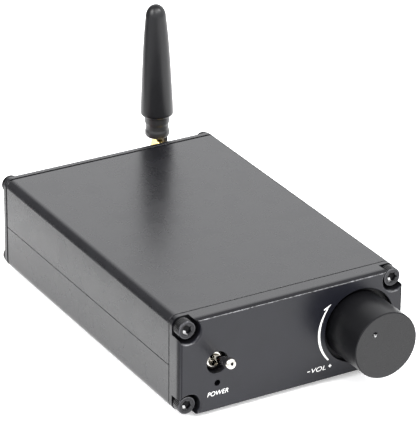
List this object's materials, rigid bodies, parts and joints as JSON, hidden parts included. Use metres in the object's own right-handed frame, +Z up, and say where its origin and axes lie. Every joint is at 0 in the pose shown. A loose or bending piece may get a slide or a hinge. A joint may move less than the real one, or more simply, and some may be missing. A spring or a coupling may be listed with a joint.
{
  "type": "bluetooth audio receiver",
  "caption": "Desktop wireless audio receiver and amplifier in a split aluminium case, with a volume knob, a power toggle, a hinged antenna and speaker posts.",
  "frame": {"origin": "under the middle of the object's bounding box, on the surface that the feet stand on", "axes": "+Z up; the front panel with its knob and switch faces -Y; +X is to the right seen from the front"},
  "size_m": [0.087, 0.1668, 0.0871],
  "materials": {
    "case": "satin black anodised, fine matt texture",
    "panel": "satin black anodised, machined",
    "knob": "matt black anodised",
    "screw": "black nickel plated",
    "switch_metal": "bright nickel plated",
    "gold": "bright gold plated",
    "antenna_rubber": "matt black",
    "foot": "matt black",
    "black_plastic": "satin black",
    "red_plastic": "gloss red",
    "lamp": "clear tinted lens, unlit",
    "board": "green solder mask",
    "bare_aluminium": "bare extruded"
  },
  "bodies": {
    "case": {"lower_shell": "case", "upper_shell": "case", "front_panel": "panel", "rear_panel": "panel", "front_screw_bottom_left": "screw", "front_screw_bottom_right": "screw", "front_screw_top_left": "screw", "front_screw_top_right": "screw", "rear_screw_bottom_left": "screw", "rear_screw_bottom_right": "screw", "rear_screw_top_left": "screw", "rear_screw_top_right": "screw", "foot_front_left": "foot", "foot_front_right": "foot", "foot_rear_left": "foot", "foot_rear_right": "foot", "pot_body": "switch_metal", "pot_nut": "switch_metal", "toggle_body": "red_plastic", "toggle_bushing": "switch_metal", "power_led": "lamp", "post_stem_1": "gold", "post_stem_2": "gold", "post_stem_3": "gold", "post_stem_4": "gold", "post_collar_1": "red_plastic", "post_collar_2": "black_plastic", "post_collar_3": "red_plastic", "post_collar_4": "black_plastic", "post_nut_1": "switch_metal", "post_nut_2": "switch_metal", "post_nut_3": "switch_metal", "post_nut_4": "switch_metal", "dc_jack": "black_plastic", "aux_jack": "black_plastic", "sma_jack": "gold", "sma_panel_nut": "gold", "antenna_coupling_nut": "gold", "main_board": "board", "amplifier_chip": "black_plastic", "heat_sink": "bare_aluminium", "capacitor_1": "black_plastic", "capacitor_2": "black_plastic", "inductor_1": "black_plastic", "inductor_2": "black_plastic", "bluetooth_module": "board", "antenna_lead": "black_plastic"},
    "knob": {"volume_knob": "knob", "knob_set_screw": "screw", "pot_shaft": "switch_metal"},
    "switch_lever": {"toggle_lever": "switch_metal"},
    "antenna_swivel": {"antenna_knuckle": "gold", "antenna_hinge_pin": "gold"},
    "antenna_mast": {"antenna_sleeve": "antenna_rubber"},
    "speaker_cap_1": {"post_cap_1": "red_plastic"},
    "speaker_cap_2": {"post_cap_2": "black_plastic"},
    "speaker_cap_3": {"post_cap_3": "red_plastic"},
    "speaker_cap_4": {"post_cap_4": "black_plastic"}
  },
  "joints": [
    {"name": "volume_turn", "type": "hinge", "parent": "case", "child": "knob", "pos_m": [0.0264, -0.0649, 0.0194], "axis": [0, 1, 0], "range_deg": [-109, 191]},
    {"name": "power_flip", "type": "hinge", "parent": "case", "child": "switch_lever", "pos_m": [-0.0293, -0.0616, 0.0196], "axis": [1, 0, 0], "range_deg": [0, 30]},
    {"name": "antenna_turn", "type": "hinge", "parent": "case", "child": "antenna_swivel", "pos_m": [0.0266, 0.0754, 0.0295], "axis": [0, 1, 0], "range_deg": [-90, 90]},
    {"name": "antenna_fold", "type": "hinge", "parent": "antenna_swivel", "child": "antenna_mast", "pos_m": [0.0266, 0.0754, 0.0295], "axis": [-1, 0, 0], "range_deg": [0, 90]},
    {"name": "cap_1_unscrew", "type": "slide", "parent": "case", "child": "speaker_cap_1", "axis": [0, 1, 0], "range_m": [0, 0.0045]},
    {"name": "cap_2_unscrew", "type": "slide", "parent": "case", "child": "speaker_cap_2", "axis": [0, 1, 0], "range_m": [0, 0.0045]},
    {"name": "cap_3_unscrew", "type": "slide", "parent": "case", "child": "speaker_cap_3", "axis": [0, 1, 0], "range_m": [0, 0.0045]},
    {"name": "cap_4_unscrew", "type": "slide", "parent": "case", "child": "speaker_cap_4", "axis": [0, 1, 0], "range_m": [0, 0.0045]}
  ]
}
